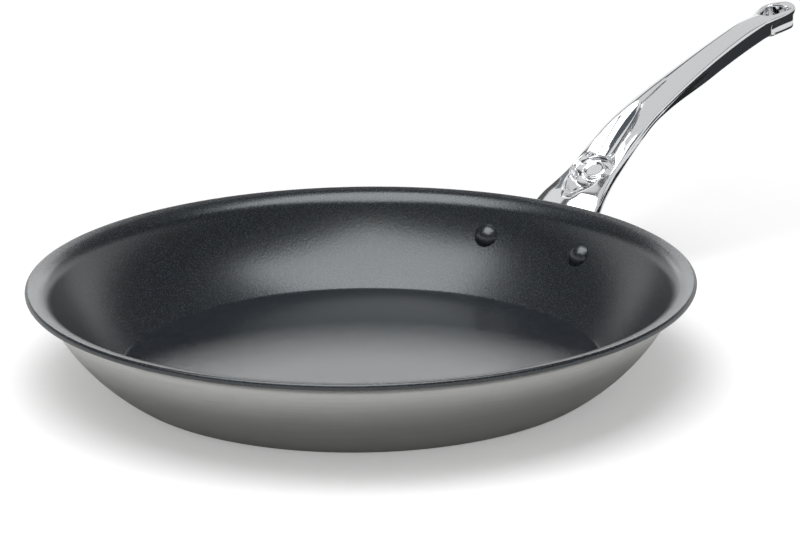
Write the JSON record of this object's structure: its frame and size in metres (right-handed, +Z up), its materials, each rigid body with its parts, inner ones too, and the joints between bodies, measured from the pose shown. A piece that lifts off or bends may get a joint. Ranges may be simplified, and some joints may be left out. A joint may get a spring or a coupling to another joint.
{
  "type": "omelette pan",
  "caption": "Round clad-metal omelette pan with low walls and a flared lip, a dark non-stick lining, and a long rising cast-steel handle with a hollowed neck and a hanging hole.",
  "frame": {"origin": "centre of the flat resting face under the pan", "axes": "+X along the handle, away from the pan; +Z up; +Y to the left, seen from the pan towards the handle's end. The XZ plane is the plane of symmetry."},
  "size_m": [0.4905, 0.286, 0.1033],
  "materials": {
    "outer_steel": "brushed round the pan",
    "inner_steel": "satin",
    "pure_aluminium": "satin",
    "alloy_core": "satin",
    "nonstick": "satin charcoal with fine metallic flecks",
    "cast_steel": "polished",
    "rivet_steel": "polished"
  },
  "bodies": {
    "root": {"outer_steel_ply": "outer_steel", "outer_aluminium_ply": "pure_aluminium", "alloy_core_ply": "alloy_core", "inner_aluminium_ply": "pure_aluminium", "inner_steel_ply": "inner_steel", "nonstick_coating": "nonstick", "handle": "cast_steel", "rivet_left": "rivet_steel", "rivet_right": "rivet_steel"}
  },
  "joints": []
}
